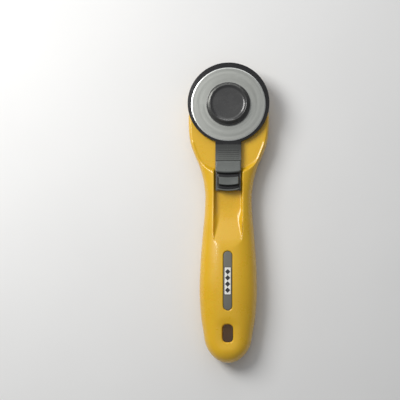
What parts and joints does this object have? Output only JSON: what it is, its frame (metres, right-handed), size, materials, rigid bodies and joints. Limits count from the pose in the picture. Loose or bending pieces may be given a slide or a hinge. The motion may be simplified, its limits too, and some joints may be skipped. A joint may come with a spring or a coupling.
{
  "type": "rotary cutter",
  "caption": "Rotary cutter with a round steel blade, a sliding disc guard moved by a stepped thumb pad, a waisted grip with a hang hole and a release slider on the back.",
  "frame": {"origin": "middle of the bounding box, on the plane that the cutter lies on, back down", "axes": "+Y from the grip's end to the head, +Z out of the front where the blade and its cap are, +X to the right seen from the front"},
  "size_m": [0.0496, 0.1812, 0.021],
  "materials": {
    "yellow_plastic": "moulded, semi-gloss, warm yellow",
    "black_plastic": "moulded, fine texture, black",
    "dark_grey_plastic": "moulded, fine texture, dark grey",
    "slot_grey_plastic": "moulded, smooth, mid grey",
    "off_white_plastic": "smooth off-white plate with a plain dark pattern",
    "blade_steel": "satin tool steel with a bright ground edge",
    "plain_steel": "plain zinc-bright steel"
  },
  "bodies": {
    "handle": {"front_shell": "yellow_plastic", "rear_shell": "yellow_plastic", "name_inlay": "slot_grey_plastic", "label_plate": "off_white_plastic", "shaft_bush": "plain_steel", "guard_detent_spring": "plain_steel", "lever_spring": "plain_steel", "shell_screw_1": "plain_steel", "shell_screw_2": "plain_steel", "shell_screw_3": "plain_steel", "shell_screw_4": "plain_steel"},
    "guard": {"blade_guard": "black_plastic", "thumb_slide": "dark_grey_plastic", "slide_retainer": "black_plastic", "retainer_screw_1": "plain_steel", "retainer_screw_2": "plain_steel"},
    "lever": {"release_lever": "black_plastic", "lock_plate": "plain_steel", "lever_rivet_1": "plain_steel", "lever_rivet_2": "plain_steel"},
    "blade": {"blade": "blade_steel"},
    "pin": {"pin_cap": "dark_grey_plastic", "pin_sleeve": "black_plastic", "pin_core": "plain_steel", "tension_washer": "plain_steel"}
  },
  "joints": [
    {"name": "guard_slide", "type": "slide", "parent": "handle", "child": "guard", "axis": [0, -1, 0], "range_m": [0, 0.01]},
    {"name": "release_slide", "type": "slide", "parent": "handle", "child": "lever", "axis": [0, -1, 0], "range_m": [0, 0.005], "stiffness_N_per_m": 400, "deforming": ["lever_spring"]},
    {"name": "blade_spin", "type": "hinge", "parent": "handle", "child": "blade", "pos_m": [0, 0.0648, 0.01655], "axis": [0, 0, 1], "continuous": true},
    {"name": "pin_spin", "type": "hinge", "parent": "handle", "child": "pin", "pos_m": [0, 0.0648, 0.012], "axis": [0, 0, 1], "continuous": true}
  ]
}
